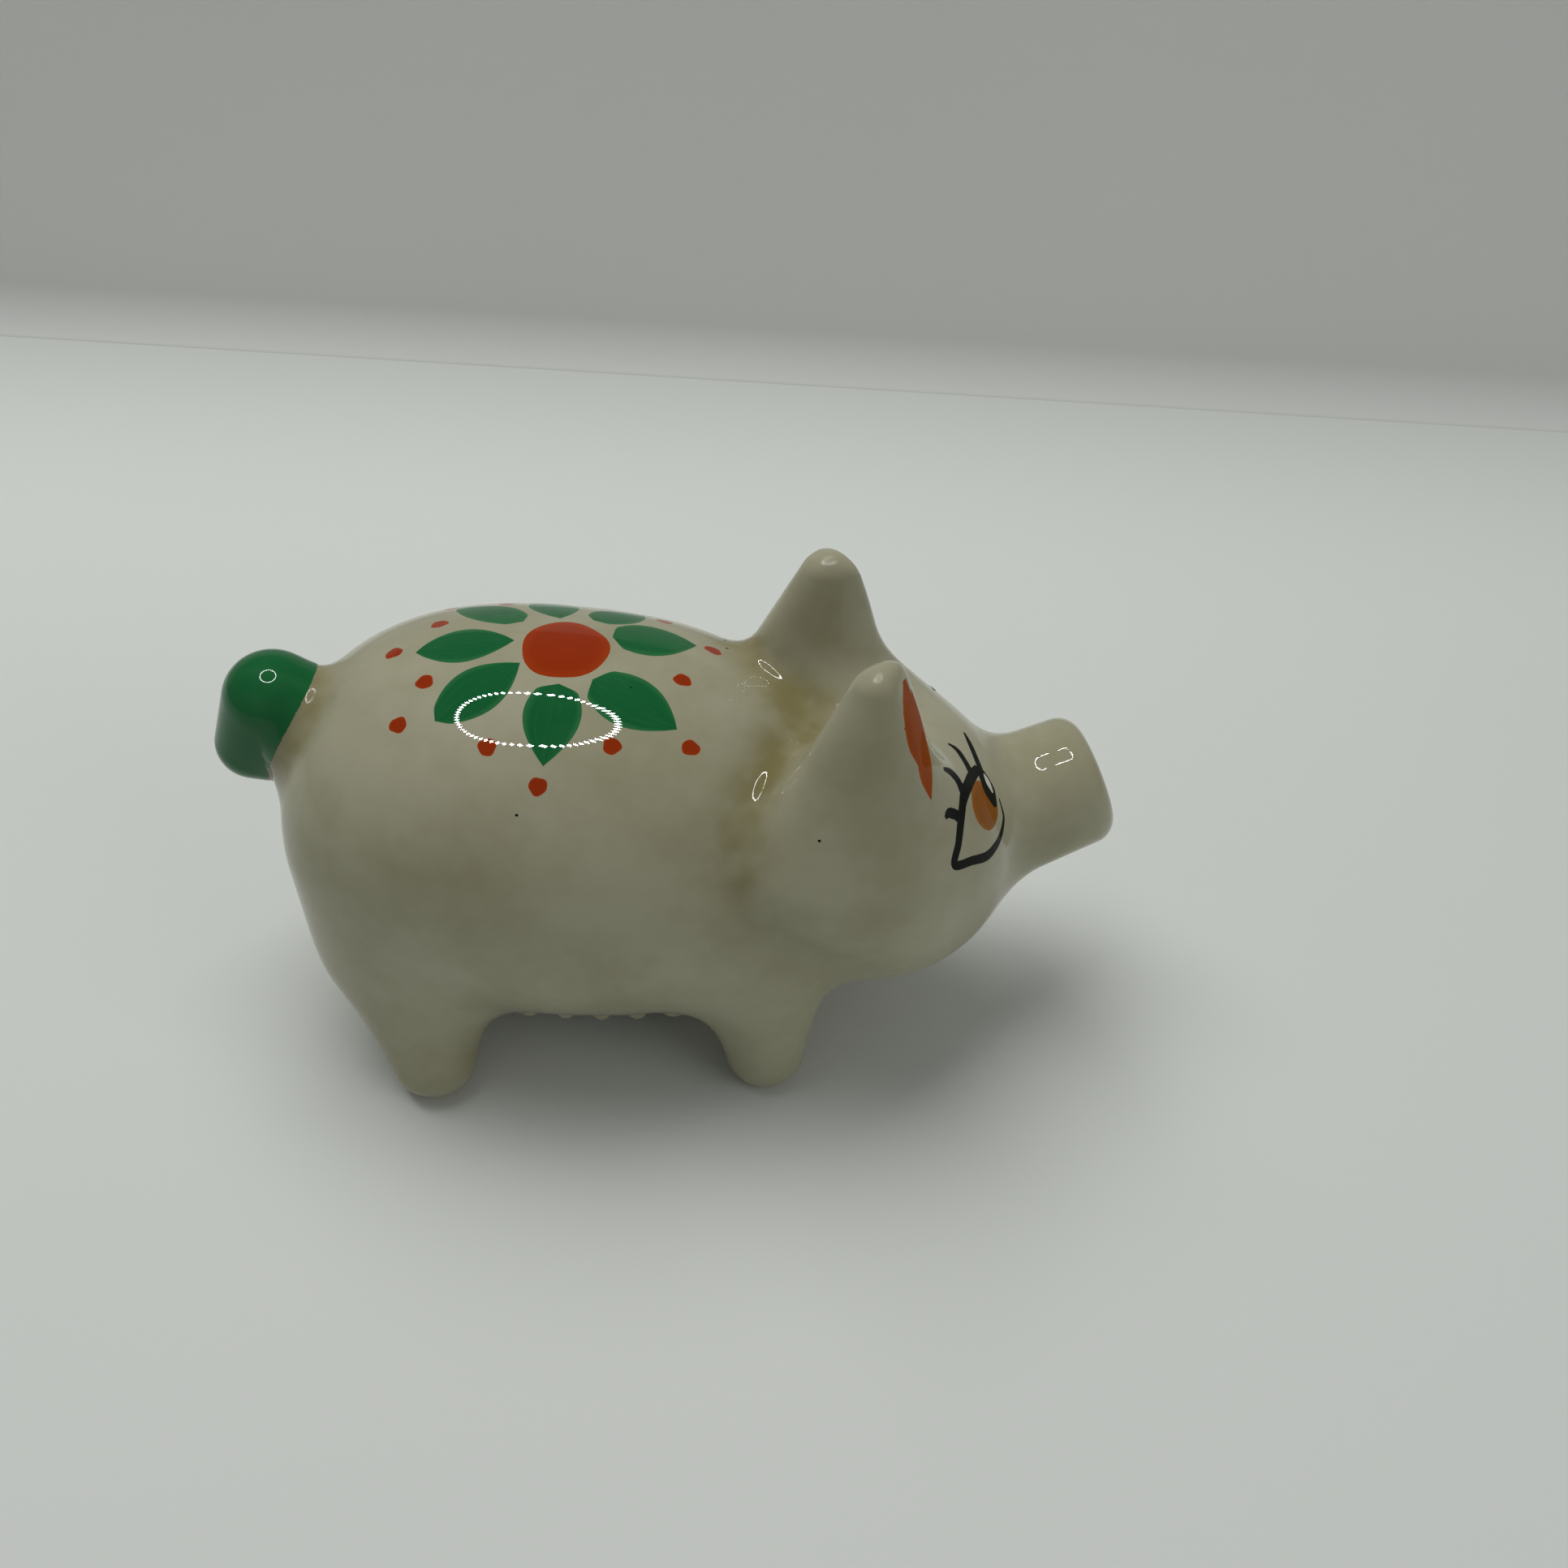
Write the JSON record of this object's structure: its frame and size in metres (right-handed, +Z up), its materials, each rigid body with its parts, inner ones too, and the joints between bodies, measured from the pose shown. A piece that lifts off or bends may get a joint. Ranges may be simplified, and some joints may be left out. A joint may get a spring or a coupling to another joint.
{
  "type": "piggy bank",
  "caption": "Hollow glazed ceramic pig bank on stub legs, with a side coin slot and a soft push-in belly stopper.",
  "frame": {"origin": "on the ground under the middle of the object's box", "axes": "+X towards the snout, +Y to the pig's left, +Z up"},
  "size_m": [0.1006, 0.0466, 0.0577],
  "materials": {
    "ivory_glaze": "glossy",
    "green_enamel": "glossy",
    "orange_enamel": "glossy",
    "ochre_enamel": "glossy",
    "black_enamel": "glossy",
    "stopper_rubber": "matte"
  },
  "bodies": {
    "pig": {"torso_shell": "ivory_glaze", "head_shell": "ivory_glaze", "snout": "ivory_glaze", "ear_right": "ivory_glaze", "ear_left": "ivory_glaze", "leg_front_right": "ivory_glaze", "leg_front_left": "ivory_glaze", "leg_rear_right": "ivory_glaze", "leg_rear_left": "ivory_glaze", "teat_right_1": "ivory_glaze", "teat_right_2": "ivory_glaze", "teat_right_3": "ivory_glaze", "teat_right_4": "ivory_glaze", "teat_right_5": "ivory_glaze", "teat_left_1": "ivory_glaze", "teat_left_2": "ivory_glaze", "teat_left_3": "ivory_glaze", "teat_left_4": "ivory_glaze", "teat_left_5": "ivory_glaze", "tail": "green_enamel"},
    "stopper": {"stopper": "stopper_rubber"}
  },
  "joints": [
    {"name": "stopper_pull", "type": "slide", "parent": "pig", "child": "stopper", "axis": [0, 0, -1], "range_m": [0, 0.012]}
  ]
}
